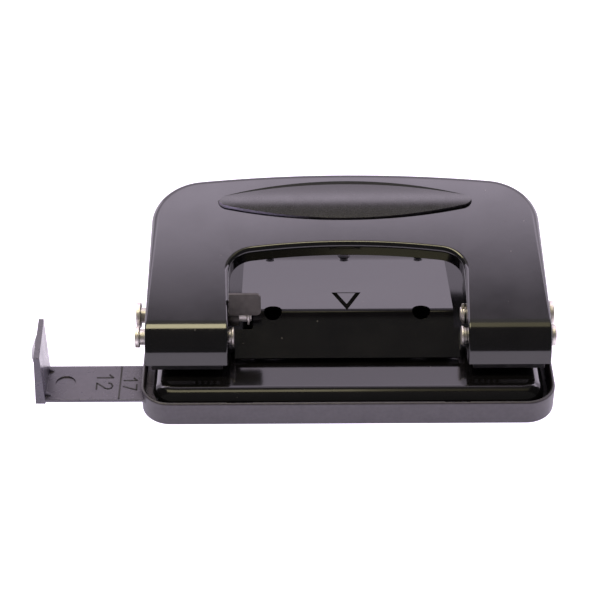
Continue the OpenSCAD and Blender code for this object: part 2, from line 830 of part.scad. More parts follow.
module pivot_pin_right() {
    pivot_pin(pin_cap_right);
}

module pivot_pin_left() {
    mirror([1, 0, 0])
        pivot_pin(pin_cap_left);
}

// Drive pin from its inner end to its outer head, with a groove for the clip
module drive_pin(inner, groove, reach) {
    groove_d = pin_d - 2 * clip_groove;
    color("#c9c7c2") {
        difference() {
            bore_x(inner, drive_y, drive_z, pin_d, lever_hw + reach - inner);
            difference() {
                bore_x(groove, drive_y, drive_z, pin_d + cut, clip_t + 2 * pin_fit);
                bore_x(groove - cut, drive_y, drive_z, groove_d, clip_t + 2 * cut + 2 * pin_fit);
            }
        }
        pin_cap(drive_y, drive_z, drive_head_d, reach);
    }
}

module drive_pin_right() {
    drive_pin(clip_in - pin_stub, clip_in, pin_cap_right);
}

module drive_pin_left() {
    mirror([1, 0, 0])
        drive_pin(-pin_end, -pin_end + pin_stub, pin_cap_left);
}

// Open spring clip, gap upward
module clip(x) {
    seat_d = pin_d - 2 * clip_groove + 2 * pin_fit;
    difference() {
        bore_x(x + pin_fit, drive_y, drive_z, clip_d, clip_t);
        bore_x(x - cut, drive_y, drive_z, seat_d, clip_t + 2 * cut);
        translate([x - cut, drive_y - seat_d / 2, drive_z])
            cube([clip_t + 2 * cut, seat_d, clip_d]);
    }
}

module drive_clips() {
    color("#b9b7b2") {
        clip(clip_in);
        clip(lock_clip);
    }
}

module punch() {
    color("#d2d0cc")
    difference() {
        translate([punch_x, punch_y, web_low + punch_lift])
            cylinder(d = punch_d, h = drive_z + punch_head - web_low - punch_lift);
        bore_x(punch_x - punch_d, punch_y, drive_z, pin_d + 2 * drive_fit, 2 * punch_d);
        // Hollow edge that cuts from its two sides inward
        translate([punch_x, punch_y + punch_d, web_low + punch_lift])
            rotate([90, 0, 0])
                linear_extrude(2 * punch_d)
                    polygon([[-punch_d / 2 - eps, -eps], [punch_d / 2 + eps, -eps], [0, punch_hollow]]);
    }
}

module punch_right() {
    punch();
}

module punch_left() {
    mirror([1, 0, 0])
        punch();
}

// Return spring: a long leg under the drive pin, the coil, a short leg on the bracket
function coil_point(u) = [coil_x + coil_pitch * u, coil_r * cos(-90 - 360 * u), coil_r * sin(-90 - 360 * u)];
function between(a, b, t) = a + (b - a) * t;
spring_line = concat(
    [for (t = [0, 0.35, 0.7]) between([coil_x, leg_end[0], leg_end[1]], coil_point(0), t)],
    [for (i = [0:coil_steps * coil_turns]) coil_point(i / coil_steps)],
    [for (t = [0.5, 1]) between(coil_point(coil_turns), [coil_end_x, foot_end[0], foot_end[1]], t)]
);

// Least gap between two places of the wire more than half a turn apart
apart = coil_steps / 2 + 1;
spring_gap = min([
    for (i = [0:len(spring_line) - 1 - apart], j = [i + apart:len(spring_line) - 1])
        norm(spring_line[j] - spring_line[i])
]) - wire_d;
echo(spring_gap = spring_gap);

// Wire of six sides along a line of points
module wire(line, d) {
    n = len(line);
    sides = 6;
    function way(i) = let (v = line[min(i + 1, n - 1)] - line[max(i - 1, 0)]) v / norm(v);
    function ring(i) = let (w = way(i), a = cross(w, cross([1, 0, 0], w)), u = a / norm(a), v = cross(w, u))
        [for (k = [0:sides - 1]) line[i] + d / 2 * (u * cos(360 * k / sides) + v * sin(360 * k / sides))];
    points = [for (i = [0:n - 1]) each ring(i)];
    polyhedron(
        points = points,
        faces = concat(
            [for (k = [1:sides - 2]) [0, k, k + 1]],
            [for (i = [0:n - 2], k = [0:sides - 1]) each
                let (a = i * sides + k, b = i * sides + (k + 1) % sides)
                    two_faces(a, a + sides, b + sides, b)],
            [for (k = [1:sides - 2]) [(n - 1) * sides, (n - 1) * sides + k + 1, (n - 1) * sides + k]]
        )
    );
}

module spring_right() {
    color("#a9a7a4")
    translate([0, pivot_y, pivot_z])
        wire(spring_line, wire_d);
}

module spring_left() {
    mirror([1, 0, 0])
        spring_right();
}

// Thumb tab with two round corners, in front of the pin
module lock_tab() {
    tab_h = lock_tab_high - lock_tab_low;
    translate([0, lock_t, lock_tab_low])
        rotate([90, 0, 0])
            linear_extrude(lock_t) {
                square([lock_tab_w - lock_corner_r, tab_h]);
                translate([0, lock_corner_r])
                    square([lock_tab_w, tab_h - 2 * lock_corner_r]);
                for (z = [lock_corner_r, tab_h - lock_corner_r])
                    translate([lock_tab_w - lock_corner_r, z])
                        circle(lock_corner_r);
            }
}

// Tab, hub on the long pin, and a tongue that catches under the hood
module lock_slider() {
    relief_d = clip_d + 2 * lock_gap;
    color("#3b3936")
    difference() {
        union() {
            bore_x(hub_left, drive_y, drive_z, 2 * lock_r, lock_hub_len);
            translate([hub_left, drive_y - lock_tab_front, drive_z])
                rotate([-lock_lean, 0, 0])
                    lock_tab();
            // Arm from the hub forward to the tab
            translate([hub_left, drive_y - lock_tab_front + lock_t / 2, drive_z + lock_r - lock_t])
                cube([lock_hub_len, lock_tab_front, lock_t]);
            translate([hub_left, drive_y, drive_z + tongue_rise])
                cube([pin_end - hub_left, lock_tongue, lock_t]);
        }
        bore_x(hub_left - cut, drive_y, drive_z, pin_d + 2 * pin_fit, lock_hub_len + 2 * cut);
        bore_x(hub_right, drive_y, drive_z, relief_d, lock_tab_w);
    }
}

module paper_guide() {
    stop_base = stop_x - stop_t;
    color("#4c484f")
    difference() {
        union() {
            translate([stop_x - stop_t / 2, bar_front, bar_low])
                cube([guide_len + stop_t / 2, guide_w, guide_t]);
            translate([0, bar_rear, 0])
                rotate([90, 0, 0])
                    linear_extrude(guide_w)
                        polygon([[stop_base, stop_low], [stop_x, stop_low], [stop_x - stop_draft, stop_h],
                            [stop_x - stop_draft - stop_top_t, stop_h]]);
            // Finger ridge on the outer side of the stop, sloped above
            ridge_r = (pow(guide_w / 2, 2) + pow(ridge_out, 2)) / (2 * ridge_out);
            translate([stop_x - stop_top_t, (bar_front + bar_rear) / 2, stop_h - ridge_h])
                intersection() {
                    translate([ridge_r - ridge_out, 0, 0])
                        cylinder(r1 = ridge_r, r2 = ridge_r - ridge_out, h = ridge_h, $fn = 120);
                    translate([-ridge_out, -guide_w / 2, 0])
                        cube([ridge_out + stop_top_t / 2, guide_w, ridge_h]);
                }
            for (y = [bar_front + gusset + guide_t, bar_rear - gusset])
                translate([stop_x - eps, y, guide_top - eps])
                    rotate([90, 0, 0])
                        linear_extrude(guide_t)
                            polygon([[-stop_t / 2, 0], [gusset, 0], [-stop_t / 4, gusset],
                                [-stop_t / 2, gusset]]);
        }
        // Top of the stop, falling towards the front
        translate([stop_x + stop_t, bar_rear, stop_h])
            rotate([atan(stop_fall / guide_w), 0, 0])
                translate([-4 * stop_t, -2 * guide_w, 0])
                    cube([5 * stop_t, 4 * guide_w, stop_h]);
        translate([stop_x + recess_in, (bar_front + bar_rear) / 2, guide_top - recess_deep])
            cylinder(r = recess_r, h = recess_deep + cut);
    }
}

base_plate();
chip_tray();
hood();
bracket_left();
bracket_right();
hood_rivets();
bracket_rivets();
handle();
handle_inlay();
pivot_pin_left();
pivot_pin_right();
drive_pin_left();
drive_pin_right();
drive_clips();
punch_left();
punch_right();
spring_left();
spring_right();
lock_slider();
paper_guide();
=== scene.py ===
import math

import bmesh
import bpy
from mathutils import Matrix, Vector


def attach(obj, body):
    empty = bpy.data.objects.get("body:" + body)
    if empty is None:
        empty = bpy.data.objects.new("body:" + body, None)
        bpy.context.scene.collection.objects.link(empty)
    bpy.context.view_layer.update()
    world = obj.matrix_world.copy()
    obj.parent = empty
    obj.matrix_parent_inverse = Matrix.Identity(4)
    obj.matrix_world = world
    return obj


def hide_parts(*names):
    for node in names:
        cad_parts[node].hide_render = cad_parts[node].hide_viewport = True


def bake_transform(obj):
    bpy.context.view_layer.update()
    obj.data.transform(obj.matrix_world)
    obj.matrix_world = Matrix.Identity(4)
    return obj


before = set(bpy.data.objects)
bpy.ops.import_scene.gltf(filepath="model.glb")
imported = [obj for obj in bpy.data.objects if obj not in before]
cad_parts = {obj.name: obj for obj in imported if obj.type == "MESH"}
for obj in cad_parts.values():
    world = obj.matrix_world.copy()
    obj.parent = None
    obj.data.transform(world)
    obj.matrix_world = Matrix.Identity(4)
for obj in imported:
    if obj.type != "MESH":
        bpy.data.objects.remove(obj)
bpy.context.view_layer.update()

# Chip tray: a shallow tub of dark grey plastic that catches the paper chips. It is moulded in one piece
# with a thin rim, pads for the steel plate and a channel for the paper guide, and it pulls off downward.
MM = 0.001


def blank_finish(name):
    """A new material with only its shader, ready for its own grain."""
    finish = bpy.data.materials.new(name)
    finish.use_nodes = True
    nodes = finish.node_tree.nodes
    nodes.clear()
    out = nodes.new("ShaderNodeOutputMaterial")
    skin = nodes.new("ShaderNodeBsdfPrincipled")
    finish.node_tree.links.new(skin.outputs["BSDF"], out.inputs["Surface"])
    return finish, skin


def skin_of(finish):
    """The shader of a material that has its grain already."""
    return next(n for n in finish.node_tree.nodes if n.type == "BSDF_PRINCIPLED")


def own_place(finish):
    """The place of each point in the piece's own space, split into X, Y and Z."""
    nodes = finish.node_tree.nodes
    place = nodes.new("ShaderNodeTexCoord")
    split = nodes.new("ShaderNodeSeparateXYZ")
    finish.node_tree.links.new(place.outputs["Object"], split.inputs["Vector"])
    return split.outputs


def worked_out(finish, operation, value, other=0.0):
    """One step of reckoning on a value."""
    step = finish.node_tree.nodes.new("ShaderNodeMath")
    step.operation = operation
    finish.node_tree.links.new(value, step.inputs[0])
    step.inputs[1].default_value = other
    return step.outputs["Value"]


def spread(finish, value, start, end, low=0.0, high=1.0):
    """A value that runs evenly from low to high between two places."""
    scale = finish.node_tree.nodes.new("ShaderNodeMapRange")
    scale.inputs["From Min"].default_value = start
    scale.inputs["From Max"].default_value = end
    scale.inputs["To Min"].default_value = low
    scale.inputs["To Max"].default_value = high
    finish.node_tree.links.new(value, scale.inputs["Value"])
    return scale.outputs["Result"]


def two_tones(finish, share, first, second):
    """Mixes the colours of two patterns, or of a pattern and one colour."""
    mix = finish.node_tree.nodes.new("ShaderNodeMix")
    mix.data_type = "RGBA"
    finish.node_tree.links.new(share, mix.inputs["Factor"])
    finish.node_tree.links.new(first, mix.inputs["A"])
    if isinstance(second, tuple):
        mix.inputs["B"].default_value = (*second, 1.0)
    else:
        finish.node_tree.links.new(second, mix.inputs["B"])
    return mix.outputs["Result"]


def patches(finish, scale, detail=3.0, rough=0.55):
    """Cloudy pattern in the object's own space; scale is in patches per metre."""
    nodes, links = finish.node_tree.nodes, finish.node_tree.links
    place = nodes.new("ShaderNodeTexCoord")
    cloud = nodes.new("ShaderNodeTexNoise")
    cloud.inputs["Scale"].default_value = scale
    cloud.inputs["Detail"].default_value = detail
    cloud.inputs["Roughness"].default_value = rough
    links.new(place.outputs["Object"], cloud.inputs["Vector"])
    return cloud.outputs["Fac"]


def graded(finish, value, low, high, start=0.3, end=0.7):
    """Turns a pattern into a range of grey values or of colours."""
    ramp = finish.node_tree.nodes.new("ShaderNodeValToRGB")
    first, last = ramp.color_ramp.elements
    first.position, last.position = start, end
    first.color = (*low, 1.0) if isinstance(low, tuple) else (low, low, low, 1.0)
    last.color = (*high, 1.0) if isinstance(high, tuple) else (high, high, high, 1.0)
    finish.node_tree.links.new(value, ramp.inputs["Fac"])
    return ramp.outputs["Color"]


def raised(finish, skin, value, strength, distance):
    """Lets a pattern stand out of the surface by a small distance."""
    bump = finish.node_tree.nodes.new("ShaderNodeBump")
    bump.inputs["Strength"].default_value = strength
    bump.inputs["Distance"].default_value = distance
    finish.node_tree.links.new(value, bump.inputs["Height"])
    finish.node_tree.links.new(bump.outputs["Normal"], skin.inputs["Normal"])


def moulded_plastic(name, dark, pale, smooth, dull, grain=0.25):
    """Dark plastic with a fine spark-eroded grain."""
    finish, skin = blank_finish(name)
    links = finish.node_tree.links
    links.new(graded(finish, patches(finish, 900), dark, pale), skin.inputs["Base Color"])
    links.new(graded(finish, patches(finish, 240), smooth, dull), skin.inputs["Roughness"])
    raised(finish, skin, patches(finish, 5200, 2.0), grain, 0.00003)
    return finish


def dress(node, finish, edge):
    """Gives a solid of the frame its finish and breaks its sharp edges by some millimetres."""
    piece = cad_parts[node]
    piece.data.materials.clear()
    piece.data.materials.append(finish)
    if edge:
        weld = piece.modifiers.new("weld", "WELD")
        weld.merge_threshold = 0.002 * MM
        whole = piece.modifiers.new("whole_faces", "DECIMATE")
        whole.decimate_type = "DISSOLVE"
        whole.angle_limit = math.radians(0.6)
        broken = piece.modifiers.new("broken_edge", "BEVEL")
        broken.width = edge * MM
        broken.segments = 3
        broken.limit_method = "ANGLE"
        broken.angle_limit = math.radians(32)
        broken.harden_normals = False
        even = piece.modifiers.new("even_shading", "WEIGHTED_NORMAL")
        even.weight = 100


TRAY_HALF = (51.8 * MM, 32.0 * MM)
TRAY_CORNER = 7.5 * MM
RIM_INSIDE = 6.8 * MM
RIM_OUTSIDE = 7.2 * MM


def tray_finish(name):
    """The tray's plastic: grained outside, and darker from the rim inwards, a painted shade for the dark gap
    round the plate.
    """
    finish = moulded_plastic(name, (0.031, 0.027, 0.035), (0.042, 0.037, 0.046), 0.42, 0.52)
    nodes, links = finish.node_tree.nodes, finish.node_tree.links
    place = own_place(finish)
    reach = nodes.new("ShaderNodeCombineXYZ")
    for axis, half in zip("XY", TRAY_HALF):
        side = worked_out(finish, "ABSOLUTE", place[axis])
        past = worked_out(finish, "SUBTRACT", side, half - TRAY_CORNER)
        links.new(worked_out(finish, "MAXIMUM", past), reach.inputs[axis])
    span = nodes.new("ShaderNodeVectorMath")
    span.operation = "LENGTH"
    links.new(reach.outputs["Vector"], span.inputs[0])
    gap_shade_share = spread(finish, span.outputs["Value"], RIM_INSIDE, RIM_OUTSIDE)
    colour = skin_of(finish).inputs["Base Color"]
    # Painted shade: from the rim inwards the colour turns near black, standing in for the shade in the gap
    # round the plate
    painted_gap_shade = graded(finish, patches(finish, 500), (0.004, 0.0037, 0.0043), (0.007, 0.0065, 0.0075))
    links.new(two_tones(finish, gap_shade_share, painted_gap_shade, colour.links[0].from_socket), colour)
    return finish


dress("chip_tray", tray_finish("tray_plastic"), edge=0.25)

# Base plate: a pan of pressed steel with a rolled edge, enamelled gloss black. It drops inside the
# tray's rim and carries the two die holes under the punches.
def gloss_enamel(name, dark, pale, smooth, dull, peel):
    """Stoved black enamel: deep gloss, a trace of orange peel and a few dust specks."""
    finish, skin = blank_finish(name)
    nodes, links = finish.node_tree.nodes, finish.node_tree.links
    place = nodes.new("ShaderNodeTexCoord")
    specks = nodes.new("ShaderNodeTexVoronoi")
    specks.inputs["Scale"].default_value = 210
    links.new(place.outputs["Object"], specks.inputs["Vector"])
    dust = graded(finish, specks.outputs["Distance"], 1.0, 0.0, 0.02, 0.05)
    coat = graded(finish, patches(finish, 160), dark, pale)
    links.new(two_tones(finish, dust, coat, (0.07, 0.068, 0.066)), skin.inputs["Base Color"])
    links.new(graded(finish, patches(finish, 75), smooth, dull), skin.inputs["Roughness"])
    skin.inputs["IOR"].default_value = 1.52
    raised(finish, skin, patches(finish, 520, 1.0), peel, 0.00002)
    return finish


def dulled_bend(finish, middle, flat, fade, shine):
    """Takes shine off the enamel along a bend that runs from left to right, where it runs thin."""
    away = worked_out(finish, "SUBTRACT", own_place(finish)["Y"], middle * MM)
    apart = worked_out(finish, "ABSOLUTE", away)
    band = spread(finish, apart, flat * MM, fade * MM, shine, FULL_SHINE)
    finish.node_tree.links.new(band, skin_of(finish).inputs["Specular IOR Level"])


ENAMEL_DARK = (0.0030, 0.0028, 0.0034)
ENAMEL_PALE = (0.0046, 0.0043, 0.0050)
FULL_SHINE = 0.5
PLATE_BEND = -27.8
plate_enamel = gloss_enamel("plate_enamel", ENAMEL_DARK, ENAMEL_PALE, 0.09, 0.14, 0.06)
dulled_bend(plate_enamel, PLATE_BEND, flat=0.75, fade=1.0, shine=0.14)
dress("base_plate", plate_enamel, edge=0)

# Punch brackets: folded from blackened sheet, one under each arm. A web over the paper guides the
# punch, a fold behind it stops the paper, a foot is riveted to the plate and two ears hold the pivot pin.
def blackened_sheet(name, dark, pale, smooth, dull):
    """Chemically blackened steel with faint rolling streaks."""
    finish, skin = blank_finish(name)
    links = finish.node_tree.links
    skin.inputs["Metallic"].default_value = 0.6
    links.new(graded(finish, patches(finish, 380, 4.0), dark, pale), skin.inputs["Base Color"])
    links.new(graded(finish, patches(finish, 900), smooth, dull), skin.inputs["Roughness"])
    raised(finish, skin, patches(finish, 2600, 2.0), 0.12, 0.00002)
    return finish


bracket_black = blackened_sheet("bracket_black", (0.018, 0.018, 0.019), (0.034, 0.033, 0.034), 0.32, 0.46)
for side in ("left", "right"):
    dress("bracket_" + side, bracket_black, edge=0.2)

# Bracket rivets: short studs of plain steel, two in the foot of each bracket. They are pushed through the
# plate from above and upset underneath.
def bright_metal(name, dark, pale, smooth, dull, grain):
    """Bare or plated metal with a light handling haze."""
    finish, skin = blank_finish(name)
    links = finish.node_tree.links
    skin.inputs["Metallic"].default_value = 1.0
    links.new(graded(finish, patches(finish, 420), dark, pale), skin.inputs["Base Color"])
    links.new(graded(finish, patches(finish, 700, 4.0), smooth, dull), skin.inputs["Roughness"])
    raised(finish, skin, patches(finish, grain, 2.0), 0.08, 0.00001)
    return finish


rivet_steel = bright_metal("rivet_steel", (0.36, 0.35, 0.34), (0.50, 0.49, 0.47), 0.28, 0.42, 3200)
dress("bracket_rivets", rivet_steel, edge=0.12)

# Punches: two rods of hardened steel, ground bright, with a hollow cutting edge below. A drive pin of the
# lever goes through the cross hole in each and pushes it down through the bracket.
punch_steel = bright_metal("punch_steel", (0.52, 0.52, 0.52), (0.62, 0.62, 0.61), 0.16, 0.26, 2400)
for side in ("left", "right"):
    dress("punch_" + side, punch_steel, edge=0.08)

# Return springs: hard-drawn wire wound round the pivot pins. The long leg lies under the drive pin and
# the short one stands on the bracket, so they push the lever up, and the real coil twists when it is pressed;
# here the wire is one fixed shape on no body.
PIVOT = Vector((0.0, -15.0, 14.45)) * MM
WIRE_R = 0.45 * MM
COIL_R = 2.65 * MM
COIL_PITCH = 1.5 * MM
COIL_START = 33.4 * MM
COIL_TURNS = 4
LONG_LEG = Vector((COIL_START, 8.2 * MM, -1.01 * MM))
SHORT_LEG = Vector((COIL_START + COIL_PITCH * COIL_TURNS, -4.2 * MM, -3.0 * MM))


def make_piece(name, points, faces, finish, body):
    """A mesh piece with smooth skin, riding on a body of the frame, or on none yet."""
    mesh = bpy.data.meshes.new(name)
    mesh.from_pydata([tuple(p) for p in points], [], faces)
    mesh.validate()
    mesh.shade_smooth()
    mesh.materials.append(finish)
    piece = bpy.data.objects.new(name, mesh)
    bpy.context.scene.collection.objects.link(piece)
    if body:
        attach(piece, body)
    return piece


def wire_skin(line, r, sides=12):
    """Points and faces of a round wire along a line, with closed ends."""
    points, faces = [], []
    count = len(line)
    for i, here in enumerate(line):
        way = (line[min(i + 1, count - 1)] - line[max(i - 1, 0)]).normalized()
        up = way.cross(Vector((1, 0, 0)).cross(way)).normalized()
        out = way.cross(up)
        for k in range(sides):
            turn = 2 * math.pi * k / sides
            points.append(here + r * (math.cos(turn) * up + math.sin(turn) * out))
    for i in range(count - 1):
        for k in range(sides):
            a, b = i * sides + k, i * sides + (k + 1) % sides
            faces.append((a, b, b + sides, a + sides))
    faces.append(tuple(reversed(range(sides))))
    faces.append(tuple((count - 1) * sides + k for k in range(sides)))
    return points, faces


def spring_line(steps=28):
    """Middle line of the wire, from the long leg through the coil to the short leg."""
    coil = []
    for i in range(steps * COIL_TURNS + 1):
        turn = math.radians(-90 - 360 * i / steps)
        gap_shade_share = COIL_START + COIL_PITCH * i / steps
        coil.append(Vector((gap_shade_share, COIL_R * math.cos(turn), COIL_R * math.sin(turn))))
    leg = [LONG_LEG.lerp(coil[0], t) for t in (0.0, 0.05, 0.3, 0.6, 0.9)]
    foot = [coil[-1].lerp(SHORT_LEG, t) for t in (0.15, 0.5, 0.95, 1.0)]
    return leg + coil + foot


spring_wire = bright_metal("spring_wire", (0.30, 0.30, 0.30), (0.42, 0.42, 0.41), 0.22, 0.34, 4200)
for side, sign in (("left", -1), ("right", 1)):
    line = [PIVOT + Vector((sign * p.x, p.y, p.z)) for p in spring_line()]
    points, faces = wire_skin(line, WIRE_R)
    if sign < 0:
        faces = [tuple(reversed(f)) for f in faces]
    spring = make_piece("wound_spring_" + side, points, faces, spring_wire, None)
    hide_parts("spring_" + side)
    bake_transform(spring)

# Pins and clips: turned steel, nickel plated. Each pin has a head with a collar outside the arm; the pivot
# pins have a second head inside, and open spring clips hold the drive pins and keep the lock on the long one.
nickel_plate = bright_metal("nickel_plate", (0.58, 0.545, 0.52), (0.70, 0.665, 0.635), 0.46, 0.58, 2600)
for side in ("left", "right"):
    dress("pivot_pin_" + side, nickel_plate, edge=0.26)
    dress("drive_pin_" + side, nickel_plate, edge=0.26)
dress("drive_clips", nickel_plate, edge=0.12)

# Hood: a bent steel cover between the arms, enamelled gloss black and duller over its bend. It has a ramp in
# front, two round holes at the bend and a sunk triangle that marks the middle of the paper. Its foot is
# held by three rivets in an even dull grey, a painted reflection that matches the light the glossy panel
# shows round them.
CREST = Vector((0.0, -7.302, 16.6))
HOOD_BEND = -7.9
hood_enamel = gloss_enamel("hood_enamel", ENAMEL_DARK, ENAMEL_PALE, 0.08, 0.12, 0.05)
dulled_bend(hood_enamel, HOOD_BEND, flat=0.7, fade=1.7, shine=0.06)
dress("hood", hood_enamel, edge=0.22)
# Painted reflection: an even grey on the rivets, matching the light that the glossy panel round them reflects
rivet_painted_reflection = gloss_enamel("rivet_painted_reflection", (0.10, 0.095, 0.105), (0.13, 0.124, 0.136), 0.5, 0.6, 0.03)
dress("hood_rivets", rivet_painted_reflection, edge=0.12)

# The mark's two slanting strokes are filled with dead black, a painted shade for the dark the groove's
# sloping walls would show, and its top stroke with bright enamel
PANEL_FALL = math.radians(14.0)
MARK_FLOOR = -0.33
SHADE_FILL_TOP = -0.02


def on_panel(x, y, z):
    """From the hood's panel, with its crest in the middle, to the model's frame."""
    c, s = math.cos(PANEL_FALL), math.sin(PANEL_FALL)
    return (CREST + Vector((x, y * c + z * s, z * c - y * s))) * MM


def mark_fill(name, skin, caps, finish):
    """Closed filling of a stroke, from its skin, as places on the panel, down to the floor of the groove."""
    count = len(skin)
    points = [on_panel(*p) for p in skin] + [on_panel(x, y, MARK_FLOOR) for x, y, z in skin]
    faces = list(caps) + [tuple(i + count for i in reversed(cap)) for cap in caps]
    faces += [(i, i + count, (i + 1) % count + count, (i + 1) % count) for i in range(count)]
    filling = make_piece(name, points, faces, finish, "base")
    filling.data.shade_flat()


def shade_fill_finish(name):
    """Dead black fill, a painted shade for the dark sides of the groove's strokes."""
    finish, skin = blank_finish(name)
    links = finish.node_tree.links
    links.new(graded(finish, patches(finish, 900), 0.003, 0.006), skin.inputs["Base Color"])
    links.new(graded(finish, patches(finish, 500), 0.75, 0.9), skin.inputs["Roughness"])
    skin.inputs["Specular IOR Level"].default_value = 0.0
    return finish


# Painted shade: the dead black fill stands in for the shade on the groove's sloping walls
slants = [(x, y, SHADE_FILL_TOP) for x, y in ((0.0, 0.05), (3.76, 10.36), (2.38, 9.96), (0.0, 3.45),
                                         (-2.38, 9.96), (-3.76, 10.36))]
mark_fill("mark_slants", slants, [(0, 1, 2, 3), (0, 3, 4, 5)], shade_fill_finish("mark_painted_shade"))
top_bar = [(-2.36, 10.01, -0.11), (2.36, 10.01, -0.11), (2.45, 10.37, 0.0), (-2.45, 10.37, 0.0)]
mark_fill("mark_top_bar", top_bar, [(0, 1, 2, 3)], hood_enamel)

# Lever: one drawn sheet of steel, enamelled gloss black. The edge is rounded all round over a skirt, the
# middle is open towards the front, and both arms roll over in front into a straight lip.
LEVER_TILT = math.radians(12.0)
LEVER_HALF = 50.6
LEVER_LEN = 49.9
LEVER_SHEET = 1.0
LEVER_TOP = 6.595
LEVER_EDGE = 2.0
WINDOW_EDGE = 1.3
ROLL_EDGE = 0.5
LEVER_SKIRT = 4.5
LEVER_CORNER = 14.0
LEVER_ARCH = 330.0
ROLL_R = 8.5
ROLL_BACK = 0.2
ROLL_TURN = math.radians(66.0)
ROLL_WAY = ROLL_R * ROLL_TURN
LIP_LEN = 2.4
WINDOW_HALF = 29.9
WINDOW_LEN = 24.75
WINDOW_CORNER = 6.5
WINDOW_ARCH = 160.0
DRIVE_PIN = (7.115, -0.194)
LOBE_R = 3.1
PIN_HOLE_R = 1.8
ROUND_STEPS = 9
ROLL_STEPS = 30
CORNER_STEPS = 22
ARCH_STEPS = 38
ARCH_SHARE = 0.95
HOLE_STEPS = 36
POCKET_LIP_STEPS = 5
SHEAR_ROUND = 0.22
FLANGE_SHY = 0.015
FLANGE_UP = 0.6
FLANGE_TAIL = 9.3
FLANGE_RUN = math.radians(-8)
INLAY_BACK = 39.2
INLAY_HALF = 33.0
INLAY_RISE = 5.85
INLAY_END = 1.2
INLAY_TIP = 1.8
POCKET_GAP = 0.08
POCKET_DEEP = 0.5
POCKET_LIP = 0.22
VALLEY_WIDE = 1.2
VALLEY_DEEP = 0.15
VALLEY_RIM = 0.05
TIP_LEAST = 0.15


def arc(centre, r, start, end, steps):
    """Points along part of a circle."""
    return [(centre[0] + r * math.cos(start + (end - start) * i / steps),
             centre[1] + r * math.sin(start + (end - start) * i / steps)) for i in range(steps + 1)]


def lever_place(x, y, z):
    """From the lever's own frame, in millimetres, to the model's, in metres."""
    c, s = math.cos(LEVER_TILT), math.sin(LEVER_TILT)
    return PIVOT + Vector((x, y * c - z * s, y * s + z * c)) * MM


def over_roll(x, y, z):
    """Carries a point of the flat lever over the roll and down the lip."""
    if y >= ROLL_BACK:
        return x, y, z
    way = ROLL_BACK - y
    turn = min(way / ROLL_WAY, 1.0) * ROLL_TURN
    down = max(way - ROLL_WAY, 0.0)
    r = ROLL_R - LEVER_TOP + z
    centre = LEVER_TOP - ROLL_R
    return (x, ROLL_BACK - r * math.sin(turn) - down * math.cos(turn),
            centre + r * math.cos(turn) - down * math.sin(turn))


ARM_PLACES = [ROLL_BACK - ROLL_WAY - LIP_LEN * t for t in (1.0, 0.5)]
ARM_PLACES += [ROLL_BACK - ROLL_WAY * (1 - i / ROLL_STEPS) for i in range(ROLL_STEPS + 1)]


def lever_edge(half, edge_len, corner_r, arch_r, drawn_in):
    """One edge of the lever's plan, from the left arm round the back to the right arm."""
    corner_x = half - corner_r
    arch_c = edge_len - arch_r
    corner_y = arch_c + math.sqrt((arch_r - corner_r) ** 2 - corner_x ** 2)
    turn = math.asin(corner_x / (arch_r - corner_r))
    arch_turn = ARCH_SHARE * turn
    quarter = math.pi / 2
    half, corner_r, arch_r = half + drawn_in, corner_r + drawn_in, arch_r + drawn_in
    return ([(-half, y) for y in ARM_PLACES]
            + arc((-corner_x, corner_y), corner_r, math.pi, quarter + turn, CORNER_STEPS)
            + arc((0, arch_c), arch_r, quarter + arch_turn, quarter - arch_turn, ARCH_STEPS)
            + arc((corner_x, corner_y), corner_r, quarter - turn, 0, CORNER_STEPS)
            + [(half, y) for y in reversed(ARM_PLACES)])


def lever_plan(inset):
    """Edge of the opening and then the outer edge back again, both drawn in."""
    inner = lever_edge(WINDOW_HALF, WINDOW_LEN, WINDOW_CORNER, WINDOW_ARCH, inset)
    outer = lever_edge(LEVER_HALF, LEVER_LEN, LEVER_CORNER, LEVER_ARCH, -inset)
    return inner + outer[::-1]


def lever_ring(window, back, front):
    """Ring of the sheet's skin; opening, back and roll each give how far it is drawn in and how high."""
    behind = [lever_plan(window[0]), lever_plan(back[0])]
    ahead = lever_plan(front[0])
    ring = []
    for i, (front_x, front_y) in enumerate(ahead):
        outer = i >= len(ahead) // 2
        x, y = behind[outer][i]
        if y > ROLL_BACK:
            ring.append((x, y, back[1] if outer else window[1]))
        else:
            ring.append(over_roll(front_x, front_y, front[1]))
    return ring


def lens_reach(x, grow=0.0):
    """Half the inlay's depth at a place across, with the tips rounded off."""
    sag = INLAY_RISE - INLAY_END
    r = (INLAY_HALF ** 2 + sag ** 2) / (2 * sag)
    past = max(0.0, abs(x) / (INLAY_HALF + grow) * INLAY_HALF - INLAY_HALF + INLAY_TIP) / INLAY_TIP
    tip = max(TIP_LEAST, math.sqrt(max(0.0, 1 - past * past)))
    return (INLAY_RISE - r + math.sqrt((r + grow) ** 2 - x * x)) * tip


def lens_ring(grow, z, wider=0.0, lower=0.0, steps=96):
    """Outline of the inlay's pocket, from the left end round the front; its rear can be wider and lower."""
    low, high = [], []
    for i in range(steps + 1):
        turn = math.pi * i / steps
        x = (INLAY_HALF + grow) * math.cos(turn)
        reach = lens_reach(x, grow)
        low.append((-x, INLAY_BACK - reach, z))
        high.append((x, INLAY_BACK + reach + wider * math.sin(turn), z - lower * math.sin(turn)))
    return low + high


def lever_profile(inset, r, top):
    """Rings from the sheared lower edge up to the flat: how far drawn in, and height."""
    low = LEVER_TOP - LEVER_SKIRT
    sign = 1 if inset == 0 else -1
    shear = [(inset + sign * SHEAR_ROUND * (1 - math.sin(a)), low + SHEAR_ROUND * (1 - math.cos(a)))
             for a in (0, math.pi / 4, math.pi / 2)]
    edge = [(inset + r * (1 - math.cos(a)), top - r + r * math.sin(a))
            for a in (math.pi / 2 * i / ROUND_STEPS for i in range(ROUND_STEPS + 1))]
    return shear + edge


